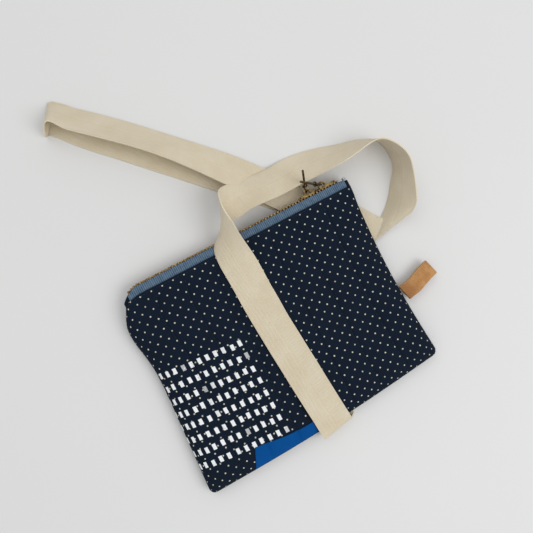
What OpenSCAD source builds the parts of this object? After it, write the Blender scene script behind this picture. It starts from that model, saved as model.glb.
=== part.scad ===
// Wristlet wallet: a quilted fabric pouch with a zip along its top edge, a leather side tag
// and a long flat strap wound once round it. The pouch lies on its back on a table at Z = 0,
// with +X along the zip and +Y towards it. Millimetres.

/* [Pouch] */
// Thickness of the filled pouch at its middle
pouch_thick = 12.6; // [12:0.1:12.8]
// Height of the side and bottom seams above the table
seam_z = 4.95; // [4.5:0.05:5.2]
// Thickness of the outer cotton, front and back
cotton_thick = 1; // [0.8:0.1:1]
// Thickness of the wadding at the middle
wadding_thick = 2.7; // [1.5:0.1:2.7]
// Thickness of the lining
lining_thick = 0.6; // [0.4:0.1:0.6]
// How far the bottom edge bows out
bottom_bow = 2.8; // [0:0.1:3]
// How far the right edge bows in
right_bow = 3.5; // [2:0.1:4]
// How far the upper left edge bulges out
left_bulge = 5.5; // [3:0.1:6]

/* [Zip] */
// Length of the row of teeth
teeth_len = 171; // [160:1:171]
// Distance between two teeth of one row
tooth_pitch = 2.5; // [2.3:0.1:3]
// Length of a tooth along the zip
tooth_len = 1.1; // [0.9:0.05:1.1]
// Thickness of the zip tape
tape_thick = 0.6; // [0.4:0.05:0.6]
// Distance between the outer faces of the two tapes
tape_span = 8.1; // [8:0.1:8.3]

/* [Sliders] */
// Place of slider A along X
slider_a_x = 64.3; // [60:0.1:65]
// Place of slider B along X
slider_b_x = 80; // [79.5:0.1:81]
// Length of each slider body
slider_len = 13; // [12:0.1:13.4]
// Distance between the pivots of the pulls and the teeth's outer face
pivot_rise = 3; // [2.9:0.1:3.1]
// Length of a pull's rod beyond the centre of its ring
rod_reach = 19; // [14:0.5:20]
// Radius of a pull's rod
rod_r = 0.8; // [0.6:0.05:0.8]

/* [Tag and patch] */
// Width of the leather tag
tag_w = 12.3; // [8:0.1:13]
// Length of the leather tag from the seam to its fold
tag_len = 29; // [20:0.5:32]
// Thickness of the leather
leather_thick = 1.3; // [0.8:0.1:1.4]
// Thickness of the blue patch
patch_thick = 0.5; // [0.3:0.1:0.8]

/* [Strap] */
// Width of the strap
strap_w = 25; // [24:0.5:25]
// Thickness of the strap
strap_thick = 0.9; // [0.7:0.1:0.9]

/* [Hidden] */
$fn = 32;

// Small gap that keeps neighbouring layers and pieces apart
gap = 0.05;

// Pouch outline: bottom corners, and the top edge where the panels meet the zip
bottom_left = [-96.7, -76.4];
bottom_right = [96.3, -67];
top_left_x = -87.5;
top_right_x = 95.7;
panel_top_y = 72;
// Radius of the rounded rim at the sides, at the bottom, and at the ends of the zip
rim_r = 14;
zip_end_rim_r = 2.7;
// The back panel rises to the zip over this length, to this height
back_rise_len = 12;
back_top_z = 2.4;
// Cells of the pouch's grid across and up, and the width of the narrow cells along its edges
cells_u = 24;
cells_v = 18;
edge_cell = 3;

// Underside of the pouch over the strap: lift, and reach of the level part and of its fall
strand_lift = 2.4;
fold_lift = 3.3;
back_strand_lift = 1.4;
rim_strand_lift = 3.9;
zip_slope = 0.25;
zip_edge = 3.5;
lift_reach = 22;
lift_fall = 10;
strand_sum = 138;
fold_centre = [87, 48];
back_strand_end = [6, -72];

// Zip: middle of the chain and of the teeth
chain_z = 7.5;
chain_y = 78.7;
tooth_head_y = 80;
tooth_base_y = 77.5;
tooth_half_z = 2.7;
tooth_overlap_z = 0.6;
teeth_x = -80.5;
tape_x = [-84, 92];
tape_end_y = 69.2;
tape_slot = 0.65;
tape_bend_r = 0.9;

// Slider: outer and inner wing, and the flanges that hold the teeth
wing_gap = 0.2;
wing_thick = 1.2;
outer_half_z = 4.1;
inner_half_z = 3.35;
flange_thick = 0.5;
outer_flange_y = 79.35;
inner_flange_y = 78.05;
arch_in_r = 1.9;
arch_thick = 1;
arch_w = 2.4;
pivot_y = tooth_head_y + pivot_rise;
arch_y = pivot_y - 0.65;
slider_b_pivot_shift = -3.4;
pivot_b_x = slider_b_x + slider_b_pivot_shift;

// Pulls: ring through the arch, and rod with an eye round the ring
ring_r = 2.6;
ring_wire = 0.55;
eye_r = 1.6;
eye_wire = 0.5;
eye_step = 3.05;
pull_a_heading = [85, 54];
pull_b_heading = [154, 38];

// Leather tag: where it leaves the seam, and its heading
tag_root = [94.8, -16.7, 5.5];
tag_turn = 16;
tag_fold_r = 2.1;
tag_root_half = 1.35;
tag_slit_start = 5;

// Blue patch: its corners on the front panel, left to right along the top edge and the bottom
patch_top = [[-54.5, -60.5], [-30.7, -64.2], [-20.6, -65.1], [-9.8, -64.7]];
patch_bottom_x = [-61, -8.8];
patch_cells = 12;

// Strap stitching: a square of thread with a cross
stitch_centre = [41, -6];
stitch_turn = -28;
stitch_side = 19;
stitch_w = 0.5;

// Strap route. Each station: X, Y, Z of the middle of the strap, then the heading and the
// slope, in degrees, of the line across the strap there. It starts and ends under the pouch.
STRAP_ROUTE = [
    [41, -6, 0.5, -28, 0], [30, -27, 0.5, -28, 0], [11, -66, 0.5, -12, 0],
    [5, -78.4, 4, 6, 0], [4, -78.4, 9.5, 10, 0], [2.5, -64, 13.8, 5, 0],
    [-0.5, -25, 13.8, 5, 0], [-3, 10, 13.8, 5, 0], [-4.5, 53.5, 15, 6, 6],
    [-5.5, 81, 21.4, 22, 46], [-4, 87, 22, 42, 54], [4, 98.5, 18.1, 82, 28],
    [14, 101, 12.8, 89, -10], [44, 100.2, 8.8, 90, -25], [64, 101.2, 5.1, 90, -21],
    [97.5, 98, 9.9, 92, -48], [132, 90.5, 12.7, 38, -80], [137, 71, 12.6, 4, -101],
    [132.5, 60.5, 11.9, -12, -113], [120.5, 41, 9.2, -10, -136], [103.5, 30, 2.8, 14, -180],
    [84.5, 50, 2.5, 45, -180], [61, 77, 1.5, 45, -180], [49, 90, 2.7, 45, -184],
    [26, 118, 5.2, 45, -197], [-11.5, 158.5, 9.6, 45, -218], [-38, 184, 9.6, 44, -218],
    [-60.5, 203.5, 9.6, 44, -218], [-74, 215.5, 9.9, 62, -220], [-77.5, 214.5, 3.2, 59, -191],
    [-75, 214, 0.5, 50, -180], [-60, 198.5, 0.5, 45, -180], [-30, 168.5, 0.5, 45, -180],
    [0, 138.5, 0.5, 45, -180], [30, 108.5, 0.5, 45, -180], [70, 68.5, 0.5, 46, -180],
    [89.5, 50, 0.6, 76, -180], [88, 45, 1.6, 118, -180], [72, 27.5, 0.5, 138, -180],
    [42, -5, 0.5, 138, -180]
];
// Rings between two stations, weight of a turn against a step, and longest oblique line across
rings_per_span = 2;
turn_weight = 8;
longest_half = 14.5;

// ---------------------------------------------------------------- pouch shape

function limit(x, low, high) = max(low, min(high, x));
function mix(a, b, t) = a + (b - a) * t;
// Height of a quarter round of radius r at a distance d from its foot, from 0 to 1
function quarter_round(d, r) = d >= r ? 1 : sqrt(max(0, 1 - pow(1 - d / r, 2)));
// Smooth step from 1 at d <= 0 to 0 at d >= length
function fall(d, length) = d <= 0 ? 1 : d >= length ? 0 : (1 + cos(180 * d / length)) / 2;

function left_x(v) = mix(bottom_left.x, top_left_x, v) - left_bulge * exp(-pow((v - 0.87) / 0.09, 2));
function right_x(v) = mix(bottom_right.x, top_right_x, v) - right_bow * sin(180 * v);
function bottom_y(u) = mix(bottom_left.y, bottom_right.y, u) - bottom_bow * sin(180 * u);
function outline_x(u, v) = mix(left_x(v), right_x(v), u);
function outline_y(u, v) = mix(bottom_y(u), panel_top_y, v);

// How full the pouch is at (u, v): 0 on the seams, 1 inside the rounded rim
function side_rim(v) = mix(rim_r, zip_end_rim_r, limit((v - 0.8) / 0.15, 0, 1));
function fullness(u, v) =
    let (width = right_x(v) - left_x(v), height = panel_top_y - bottom_y(u))
    quarter_round(min(u, 1 - u) * width, side_rim(v)) * quarter_round(v * height, rim_r);

// Distance from a point to the stretch between a and b
function stretch_distance(p, a, b) =
    let (t = limit(((p - a) * (b - a)) / ((b - a) * (b - a)), 0, 1)) norm(p - a - t * (b - a));
// How far the underside stands clear of the strap
function lift(p) = max(
    strand_lift * fall(abs(p.x + p.y - strand_sum) / sqrt(2) - lift_reach, lift_fall),
    fold_lift * fall(norm(p - fold_centre) - lift_reach, lift_fall),
    back_strand_lift * fall(stretch_distance(p, fold_centre, back_strand_end) - lift_reach, lift_fall),
    rim_strand_lift * fall(norm(p - back_strand_end) - lift_reach / 2, lift_fall)
);

function front_z(u, v) = mix(seam_z + gap + cotton_thick, pouch_thick, fullness(u, v));
function back_z(u, v) =
    let (x = outline_x(u, v), y = outline_y(u, v))
    max(
        (seam_z - cotton_thick) * (1 - fullness(u, v)),
        back_top_z * (1 - quarter_round(panel_top_y - y, back_rise_len)),
        min(
            lift([x, y]),
            seam_z - cotton_thick,
            back_top_z + zip_slope * max(0, panel_top_y - zip_edge - y)
        )
    );
// The wadding thins out where the pouch is thin
function wadding_z(u, v) =
    let (room = front_z(u, v) - back_z(u, v) - 2 * (cotton_thick + lining_thick + 3 * gap))
    limit(room / 2 * 0.9, 0.1, wadding_thick);

// Grid lines from 0 to 1 over a length, with a narrow cell at each end
function grid_line(i, cells, length) =
    i == 0 ? 0 : i == cells ? 1 : mix(edge_cell / length, 1 - edge_cell / length, (i - 1) / (cells - 2));

// Depth of a layer's two faces below the front surface, or above the back one
function panel_faces(u, v) = [0, cotton_thick];
function wadding_faces(u, v) = let (top = cotton_thick + gap) [top, top + wadding_z(u, v)];
function lining_faces(u, v) =
    let (top = cotton_thick + 2 * gap + wadding_z(u, v)) [top, top + lining_thick];
function layer_faces(kind, u, v) =
    kind == "panel" ? panel_faces(u, v) : kind == "wadding" ? wadding_faces(u, v) : lining_faces(u, v);

// One layer of the pouch as a closed sheet over the grid, from the front or from the back.
// The wadding and the lining leave out the cells next to the seams and the zip.
module layer(kind, front) {
    skip = kind == "panel" ? 0 : 1;
    columns = [for (i = [skip : cells_u - skip]) grid_line(i, cells_u, bottom_right.x - bottom_left.x)];
    rows = [for (j = [skip : cells_v - 2 * skip]) grid_line(j, cells_v, panel_top_y - bottom_left.y)];
    m = len(columns);
    n = len(rows);
    function point(u, v, deep) =
        let (d = layer_faces(kind, u, v)[deep])
        [outline_x(u, v), outline_y(u, v), front ? front_z(u, v) - d : back_z(u, v) + d];
    points = [for (deep = [0, 1]) for (v = rows) for (u = columns) point(u, v, deep)];
    closed_sheet(points, m, n, front);
}

// Joins two grids of m by n points, one above the other, into a solid
module closed_sheet(points, m, n, first_is_top) {
    last = m * n;
    function turned(f, flip) = flip ? [f[2], f[1], f[0]] : f;
    function square_faces(a, b, c, d, flip) = [turned([a, b, c], flip), turned([a, c, d], flip)];
    rim = concat(
        [for (i = [0 : m - 1]) i],
        [for (j = [1 : n - 1]) j * m + m - 1],
        [for (i = [1 : m - 1]) (n - 1) * m + m - 1 - i],
        [for (j = [1 : n - 2]) (n - 1 - j) * m]
    );
    r = len(rim);
    first = [for (j = [0 : n - 2]) for (i = [0 : m - 2])
        let (a = j * m + i)
        each square_faces(a, a + m, a + m + 1, a + 1, !first_is_top)];
    second = [for (j = [0 : n - 2]) for (i = [0 : m - 2])
        let (a = last + j * m + i)
        each square_faces(a, a + m, a + m + 1, a + 1, first_is_top)];
    side = [for (k = [0 : r - 1])
        let (a = rim[k], b = rim[(k + 1) % r])
        each square_faces(a, b, last + b, last + a, !first_is_top)];
    polyhedron(points, concat(first, second, side));
}

module back_panel() { color("#16202f") layer("panel", false); }
module back_wadding() { color("#e9e6df") layer("wadding", false); }
module back_lining() { color("#c9cdd2") layer("lining", false); }
module front_lining() { color("#c9cdd2") layer("lining", true); }
module front_wadding() { color("#e9e6df") layer("wadding", true); }
module front_panel() { color("#16202f") layer("panel", true); }

// ---------------------------------------------------------------- blue patch

// Straight line through the patch's top corners
function patch_top_y(x) =
    let (
        k = x < patch_top[1].x ? 0 : x < patch_top[2].x ? 1 : 2,
        a = patch_top[k],
        b = patch_top[k + 1]
    )
    mix(a.y, b.y, limit((x - a.x) / (b.x - a.x), 0, 1));
// (u, v) of the pouch grid for a point on the front, near its bottom edge
function grid_v(u, y) = (y - bottom_y(u)) / (panel_top_y - bottom_y(u));
function front_at(x, y) =
    let (
        u0 = (x - left_x(0)) / (right_x(0) - left_x(0)),
        v = grid_v(u0, y),
        u = (x - left_x(v)) / (right_x(v) - left_x(v))
    )
    front_z(u, grid_v(u, y));

module blue_patch() {
    rows = 6;
    seam_clear = 1;
    function place(i, j) =
        let (
            s = i / patch_cells,
            x_top = mix(patch_top[0].x, patch_top[3].x, s),
            x_bottom = mix(patch_bottom_x[0], patch_bottom_x[1], s),
            u = (x_bottom - left_x(0)) / (right_x(0) - left_x(0)),
            low = bottom_y(u) + seam_clear,
            t = j / rows
        )
        [mix(x_bottom, x_top, t), mix(low, patch_top_y(x_top), t)];
    clear = 3 * gap;
    points = [for (high = [1, 0]) for (j = [0 : rows]) for (i = [0 : patch_cells])
        let (p = place(i, j)) [p.x, p.y, front_at(p.x, p.y) + clear + high * patch_thick]];
    color("#0c4f92") closed_sheet(points, patch_cells + 1, rows + 1, true);
}

// ---------------------------------------------------------------- zip

// Places a Y-Z outline and extrudes it along X from x0
module along_x(x0, length) {
    translate([x0, 0, 0]) rotate([90, 0, 90]) linear_extrude(length) children();
}

// Outline of the front tape: from the teeth outwards, round a bend and down under the panel
module tape_outline() {
    outer = tape_span / 2;
    edge = tooth_half_z - 1.15;
    bend_y = chain_y + tape_thick / 2 - tape_bend_r;
    arc = [for (a = [0 : 15 : 90]) [bend_y + tape_bend_r * cos(a), outer - tape_bend_r + tape_bend_r * sin(a)]];
    inner_r = tape_bend_r - tape_thick;
    inner = [for (a = [90 : -30 : 0]) [bend_y + inner_r * cos(a), outer - tape_bend_r + inner_r * sin(a)]];
    polygon(concat(
        [[chain_y + tape_thick / 2, edge]], arc,
        [[tape_end_y, outer], [tape_end_y, outer - tape_thick]], inner,
        [[chain_y - tape_thick / 2, edge]]
    ));
}
module zip_tape_front() {
    color("#4f6679") translate([0, 0, chain_z]) along_x(tape_x[0], tape_x[1] - tape_x[0]) tape_outline();
}
module zip_tape_back() {
    color("#4f6679") translate([0, 0, chain_z]) mirror([0, 0, 1])
        along_x(tape_x[0], tape_x[1] - tape_x[0]) tape_outline();
}

// One tooth of the front row: a head past the middle, and two legs that clamp the tape
module tooth_outline() {
    difference() {
        translate([tooth_base_y, -tooth_overlap_z])
            square([tooth_head_y - tooth_base_y, tooth_half_z + tooth_overlap_z]);
        translate([chain_y - tape_slot / 2, tooth_half_z - 1.2]) square([tape_slot, 2]);
    }
}
module tooth_row(shift) {
    count = floor((teeth_len - shift) / tooth_pitch);
    for (i = [0 : count - 1])
        along_x(teeth_x + shift + i * tooth_pitch, tooth_len) tooth_outline();
}
module zip_teeth_front() { color("#a5843f") translate([0, 0, chain_z]) tooth_row(0); }
module zip_teeth_back() {
    color("#a5843f") translate([0, 0, chain_z]) mirror([0, 0, 1]) tooth_row(tooth_pitch / 2);
}

// A stop is a small clamped block across both tapes
module stop(x, length) {
    stop_half_z = 2.2;
    translate([x, tooth_base_y, chain_z - stop_half_z])
        difference() {
            cube([length, tooth_head_y - tooth_base_y, 2 * stop_half_z]);
            for (z = [-1, stop_half_z * 2 - 0.7])
                translate([-1, chain_y - tooth_base_y - tape_slot / 2, z]) cube([length + 2, tape_slot, 1.7]);
        }
}
module zip_stop_left() { color("#a5843f") stop(-83.2, 2.2); }
module zip_stop_right() { color("#d8dade") stop(92.1, 2); }

// End tab: folded cotton that closes the end of the zip, thinner towards the side seam
module end_tab(x_in, x_out) {
    low_y = panel_top_y + gap;
    high_y = tooth_base_y - gap;
    wide = tape_span / 2;
    narrow = 2;
    color("#16202f") translate([0, high_y, chain_z]) rotate([90, 0, 0])
        linear_extrude(high_y - low_y)
            polygon([[x_in, -wide], [x_out, -narrow], [x_out, narrow], [x_in, wide]]);
}
module zip_tab_left() { end_tab(tape_x[0] - gap, -87); }
module zip_tab_right() { end_tab(tape_x[1] + gap, 95.2); }

// ---------------------------------------------------------------- sliders

// Plan of a wing, from its narrow end to its broad shoulders, centred on X
module wing_plan(half_z) {
    half = slider_len / 2;
    shoulder = half * 0.35;
    corner = 1;
    polygon([
        [-half, -half_z * 0.9], [-half + corner, -half_z], [half - shoulder, -half_z],
        [half - corner, -half_z * 0.72], [half, -half_z * 0.45], [half, half_z * 0.45],
        [half - corner, half_z * 0.72], [half - shoulder, half_z], [-half + corner, half_z],
        [-half, half_z * 0.9]
    ]);
}
// A plate or a flange that lies in the X-Z plane, from y_low to y_high
module upright(y_low, y_high) {
    translate([0, y_high, 0]) rotate([90, 0, 0]) linear_extrude(y_high - y_low) children();
}
// The rim of a wing's plan along its two long sides only
module flange_plan(half_z) {
    intersection() {
        wing_plan(half_z);
        for (side = [-1, 1])
            translate([-slider_len / 2, side > 0 ? half_z - flange_thick : -half_z])
                square([slider_len * 0.82, flange_thick]);
    }
}
// Slider body with its middle at x, and its arch over the pivot at pivot_x
module slider(x, pivot_x) {
    outer_low = tooth_head_y + wing_gap;
    outer_high = outer_low + wing_thick;
    inner_high = tooth_base_y - wing_gap;
    inner_low = inner_high - wing_thick;
    translate([x, 0, chain_z]) {
        upright(outer_low, outer_high) wing_plan(outer_half_z);
        upright(outer_flange_y, outer_low + gap) flange_plan(outer_half_z);
        upright(inner_low, inner_high) wing_plan(inner_half_z);
        upright(inner_high - gap, inner_flange_y) flange_plan(inner_half_z);
    }
    translate([pivot_x, arch_y, chain_z - arch_w / 2]) linear_extrude(arch_w) arch_outline(outer_high - arch_y);
}
// Arch seen along Z: a half ring on two short legs that stand on the wing at foot_y
module arch_outline(foot_y) {
    out_r = arch_in_r + arch_thick;
    difference() {
        union() {
            circle(out_r);
            translate([-out_r, foot_y]) square([2 * out_r, -foot_y]);
        }
        circle(arch_in_r);
        translate([-arch_in_r, foot_y - 1]) square([2 * arch_in_r, 1 - foot_y]);
        translate([-out_r - 1, foot_y - out_r]) square([2 * out_r + 2, out_r]);
    }
}
module slider_a() { color("#8c7a55") slider(slider_a_x, slider_a_x); }
module slider_b() { color("#8c7a55") slider(slider_b_x, pivot_b_x); }

// ---------------------------------------------------------------- pulls

module torus(r, wire) { rotate_extrude() translate([r, 0]) circle(wire); }

// Puts a pull's own frame at its pivot: local X along the ring, turned by the heading
module at_pivot(pivot_x, heading) {
    translate([pivot_x, pivot_y, chain_z]) rotate([0, 0, heading[0]]) children();
}
// Ring in the plane of local X and Z, through the arch at the pivot
module pull_ring(pivot_x, heading) {
    at_pivot(pivot_x, heading) translate([ring_r, 0, 0]) rotate([90, 0, 0]) torus(ring_r, ring_wire);
}
// Rod with an eye round the ring, sloping up by the heading's second angle
module pull_rod(pivot_x, heading) {
    at_pivot(pivot_x, heading) translate([ring_r, 0, 0]) rotate([0, -heading[1], 0]) {
        translate([eye_step, 0, 0]) torus(eye_r, eye_wire);
        translate([eye_step + eye_r, 0, 0]) rotate([0, 90, 0])
            cylinder(h = rod_reach - eye_step - eye_r - rod_r, r = rod_r);
        translate([rod_reach - rod_r, 0, 0]) sphere(rod_r);
    }
}
module pull_a_ring() { color("#7d6a45") pull_ring(slider_a_x, pull_a_heading); }
module pull_a_rod() { color("#6b5a3b") pull_rod(slider_a_x, pull_a_heading); }
module pull_b_ring() { color("#7d6a45") pull_ring(pivot_b_x, pull_b_heading); }
module pull_b_rod() { color("#6b5a3b") pull_rod(pivot_b_x, pull_b_heading); }

// ---------------------------------------------------------------- leather tag

// Side view of the folded tag: two plies from the seam, and a round fold at the far end
module tag_outline() {
    end = tag_len - tag_fold_r;
    slit_r = tag_fold_r - leather_thick;
    difference() {
        polygon(concat(
            [[0, -tag_root_half]],
            [for (a = [-90 : 10 : 90]) [end + tag_fold_r * cos(a), tag_fold_r * sin(a)]],
            [[0, tag_root_half]]
        ));
        polygon(concat(
            [[tag_slit_start, 0]],
            [for (a = [-90 : 15 : 90]) [end + slit_r * cos(a), slit_r * sin(a)]]
        ));
    }
}
module leather_tag() {
    color("#b37f4d") translate(tag_root) rotate([0, 0, tag_turn])
        translate([0, tag_w / 2, 0]) rotate([90, 0, 0]) linear_extrude(tag_w) tag_outline();
}

// ---------------------------------------------------------------- strap

function across(heading, slope) = [cos(slope) * cos(heading), cos(slope) * sin(heading), sin(slope)];
middles = [for (s = STRAP_ROUTE) [s[0], s[1], s[2]]];
lines = [for (s = STRAP_ROUTE) across(s[3], s[4])];
stations = len(STRAP_ROUTE);
// Length of each span: its step, with its turn counted in
spans = [for (i = [0 : stations - 2])
    norm([norm(middles[i + 1] - middles[i]), turn_weight * norm(lines[i + 1] - lines[i])])];
// Rate of change at each station, for a list of vectors
function rates(list) = [for (i = [0 : stations - 1])
    i == 0 ? (list[1] - list[0]) / spans[0]
    : i == stations - 1 ? (list[i] - list[i - 1]) / spans[i - 1]
    : ((list[i] - list[i - 1]) / spans[i - 1] * spans[i] + (list[i + 1] - list[i]) / spans[i] * spans[i - 1])
        / (spans[i - 1] + spans[i])];
middle_rates = rates(middles);
line_rates = rates(lines);
// Smooth curve through a list, at the fraction t of span i
function curve(list, slopes, i, t) =
    (2 * t * t * t - 3 * t * t + 1) * list[i] + (t * t * t - 2 * t * t + t) * spans[i] * slopes[i]
    + (3 * t * t - 2 * t * t * t) * list[i + 1] + (t * t * t - t * t) * spans[i] * slopes[i + 1];
steps = concat(
    [for (i = [0 : stations - 2]) for (k = [0 : rings_per_span - 1]) [i, k / rings_per_span]],
    [[stations - 2, 1]]
);
ring_middles = [for (s = steps) curve(middles, middle_rates, s[0], s[1])];
ring_lines = [for (s = steps) let (w = curve(lines, line_rates, s[0], s[1])) w / norm(w)];
rings = len(steps);

// A point of the strap's edge, kept on the table
function rested(p, n) = [p.x, p.y, max(p.z, gap + strap_thick / 2 * abs(n.z))];
// Four corners of the strap's section at ring i; an oblique line is longer than half the width
function strap_ring(i) =
    let (
        run = ring_middles[min(i + 1, rings - 1)] - ring_middles[max(i - 1, 0)],
        along = run / norm(run),
        w = ring_lines[i],
        up = cross(along, w),
        n = up / norm(up),
        half = min(strap_w / 2 / norm(up), longest_half),
        t = strap_thick / 2
    )
    [for (s = [[1, 1], [-1, 1], [-1, -1], [1, -1]]) rested(ring_middles[i] + s[0] * half * w, n) + s[1] * t * n];

module strap() {
    points = [for (i = [0 : rings - 1]) each strap_ring(i)];
    sides = [for (i = [0 : rings - 2]) for (k = [0 : 3])
        let (a = 4 * i + k, b = 4 * i + (k + 1) % 4)
        each [[a, b, b + 4], [a, b + 4, a + 4]]];
    end = 4 * (rings - 1);
    caps = [[0, 2, 1], [0, 3, 2], [end, end + 1, end + 2], [end, end + 2, end + 3]];
    color("#d6cbae") polyhedron(points, concat(sides, caps));
}

// Thread between the strap's ends and the back panel
module strap_stitching() {
    diagonal = stitch_side * sqrt(2) - stitch_w;
    low = strap_thick + 3 * gap;
    high = back_strand_lift - gap;
    color("#e4dcc4") translate([stitch_centre.x, stitch_centre.y, low]) rotate([0, 0, stitch_turn])
        linear_extrude(high - low) {
            difference() {
                square(stitch_side, center = true);
                square(stitch_side - 2 * stitch_w, center = true);
            }
            for (a = [-45, 45]) rotate(a) square([diagonal, stitch_w], center = true);
        }
}

back_panel();
back_wadding();
back_lining();
front_lining();
front_wadding();
front_panel();
blue_patch();
zip_tape_front();
zip_tape_back();
zip_teeth_front();
zip_teeth_back();
zip_stop_left();
zip_stop_right();
zip_tab_left();
zip_tab_right();
slider_a();
pull_a_ring();
pull_a_rod();
slider_b();
pull_b_ring();
pull_b_rod();
leather_tag();
strap();
strap_stitching();
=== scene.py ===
# %% [markdown]
# A wristlet wallet lies on its back on a pale table: a quilted cotton pouch with a metal zip, a
# folded leather tag and a metre of cotton twill tape as its wrist strap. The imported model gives
# the hard parts and every size. This notebook dresses it: cloth, tape, leather and metal.

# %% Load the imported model
import math

import bmesh
import bpy
from mathutils import Matrix, Vector, noise


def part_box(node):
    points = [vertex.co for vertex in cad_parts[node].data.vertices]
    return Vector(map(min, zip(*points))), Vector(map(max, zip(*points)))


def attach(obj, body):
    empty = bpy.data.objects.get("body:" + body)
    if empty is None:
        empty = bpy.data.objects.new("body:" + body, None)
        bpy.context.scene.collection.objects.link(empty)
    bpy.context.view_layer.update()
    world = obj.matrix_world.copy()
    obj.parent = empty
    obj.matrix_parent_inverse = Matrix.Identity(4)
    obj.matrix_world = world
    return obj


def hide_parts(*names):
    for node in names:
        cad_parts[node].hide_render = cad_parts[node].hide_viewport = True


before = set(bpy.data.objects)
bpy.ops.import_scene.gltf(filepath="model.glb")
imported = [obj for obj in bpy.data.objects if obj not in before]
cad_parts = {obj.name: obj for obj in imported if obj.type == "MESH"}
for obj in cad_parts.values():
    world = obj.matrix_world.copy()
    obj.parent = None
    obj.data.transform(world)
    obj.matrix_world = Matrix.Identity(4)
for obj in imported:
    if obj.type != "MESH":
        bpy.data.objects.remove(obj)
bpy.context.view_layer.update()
MM = 0.001

# %% [markdown]
# The camera looks almost straight down from arm's length, as over a table, with the wallet
# turned in the picture. A camera's matrix is its right, up and backward directions, so the turn
# is given by the direction in which the picture's right side points on the table.

# %% Camera
CAMERA_PLACE = Vector((-33.4, 45.8, 417.4)) * MM
CAMERA_AIM = Vector((12.7, 48.2, 6.0)) * MM
CAMERA_TURN = math.radians(-27.5)
CAMERA_LENS = 38.5

back = (CAMERA_PLACE - CAMERA_AIM).normalized()
right = Vector((math.cos(CAMERA_TURN), math.sin(CAMERA_TURN), 0))
right = (right - right.dot(back) * back).normalized()
up = back.cross(right)
camera_data = bpy.data.cameras.new("camera")
camera_data.lens = CAMERA_LENS
camera_data.sensor_width = 36
camera_data.clip_start = 0.01
camera = bpy.data.objects.new("camera", camera_data)
camera_turn = Matrix((right, up, back)).transposed().to_4x4()
camera.matrix_world = Matrix.Translation(CAMERA_PLACE) @ camera_turn
bpy.context.scene.collection.objects.link(camera)
bpy.context.scene.camera = camera
print("camera", round((CAMERA_PLACE - CAMERA_AIM).length, 3), "m from the wallet")

# %% [markdown]
# Finishes are written as arithmetic. A Wire is one value on its way through a material, and
# adding or multiplying it adds a Math node. A Finish is a material with one Principled shader,
# and its node method makes any other node. That keeps a weave readable as a formula.

# %% Shader arithmetic
class Wire:
    """One value in a material. Arithmetic on it adds Math nodes."""

    def __init__(self, finish, socket):
        self.finish = finish
        self.socket = socket

    def maths(self, operation, *others):
        return self.finish.node("ShaderNodeMath", {"operation": operation}, self, *others)

    def __add__(self, other):
        return self.maths("ADD", other)

    def __radd__(self, other):
        return self.maths("ADD", other)

    def __sub__(self, other):
        return self.maths("SUBTRACT", other)

    def __rsub__(self, other):
        return self.finish.node("ShaderNodeMath", {"operation": "SUBTRACT"}, other, self)

    def __mul__(self, other):
        return self.maths("MULTIPLY", other)

    def __rmul__(self, other):
        return self.maths("MULTIPLY", other)

    def __truediv__(self, other):
        return self.maths("DIVIDE", other)

    def __abs__(self):
        return self.maths("ABSOLUTE")

    def below(self, limit, soft):
        """1 where the value is under the limit and 0 above it, over a soft step."""
        return self.finish.node(
            "ShaderNodeMapRange", {"interpolation_type": "SMOOTHSTEP"},
            self, limit - soft / 2, limit + soft / 2, 1.0, 0.0,
        )

    def above(self, limit, soft):
        return 1 - self.below(limit, soft)

    def fraction(self):
        """From -0.5 to 0.5, round the nearest whole number."""
        return (self + 0.5).maths("FRACT") - 0.5

    def whole(self):
        return (self + 0.5).maths("FLOOR")


class Finish:
    """A material with one Principled shader; constants are its own sockets' values."""

    def __init__(self, name, **constants):
        self.material = bpy.data.materials.new(name)
        self.material.use_nodes = True
        self.tree = self.material.node_tree
        self.shader = self.tree.nodes["Principled BSDF"]
        self.shader.inputs["Specular IOR Level"].default_value = 0.25
        for socket, value in constants.items():
            self.shader.inputs[socket.replace("_", " ")].default_value = value

    def node(self, kind, settings, *values, out=0, **named):
        made = self.tree.nodes.new(kind)
        for key, value in settings.items():
            setattr(made, key, value)
        by_id = {socket.identifier: socket for socket in made.inputs}
        targets = list(zip(made.inputs, values))
        targets += [(by_id.get(key) or made.inputs[key], value) for key, value in named.items()]
        for socket, value in targets:
            if isinstance(value, Wire):
                self.tree.links.new(value.socket, socket)
            else:
                socket.default_value = value
        return Wire(self, made.outputs[out])

    def feed(self, socket, value):
        self.tree.links.new(value.socket, self.shader.inputs[socket])

    def blend(self, amount, first, second):
        """A colour that goes from first to second as amount goes from 0 to 1."""
        return self.node(
            "ShaderNodeMix", {"data_type": "RGBA"}, out=2,
            Factor_Float=amount, A_Color=first, B_Color=second,
        )

    def object_mm(self):
        place = self.node("ShaderNodeTexCoord", {}, out="Object")
        return self.node("ShaderNodeVectorMath", {"operation": "SCALE"}, place, Scale=1000.0)

    def cloth_mm(self):
        place = self.node("ShaderNodeUVMap", {"uv_map": "cloth"})
        return self.node("ShaderNodeVectorMath", {"operation": "SCALE"}, place, Scale=1000.0)

    def xyz(self, vector):
        split = self.node("ShaderNodeSeparateXYZ", {}, vector)
        outputs = split.socket.node.outputs
        return [Wire(self, outputs[axis]) for axis in range(3)]

    def speckle(self, vector, scale, detail=2.0, rough=0.5):
        """Noise from 0 to 1 with so many blotches to a millimetre."""
        return self.node(
            "ShaderNodeTexNoise", {}, Vector=vector, Scale=scale, Detail=detail, Roughness=rough,
        )

    def bump(self, height, distance, strength=1.0):
        normal = self.node("ShaderNodeBump", {}, Height=height, Distance=distance, Strength=strength)
        self.feed("Normal", normal)


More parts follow.
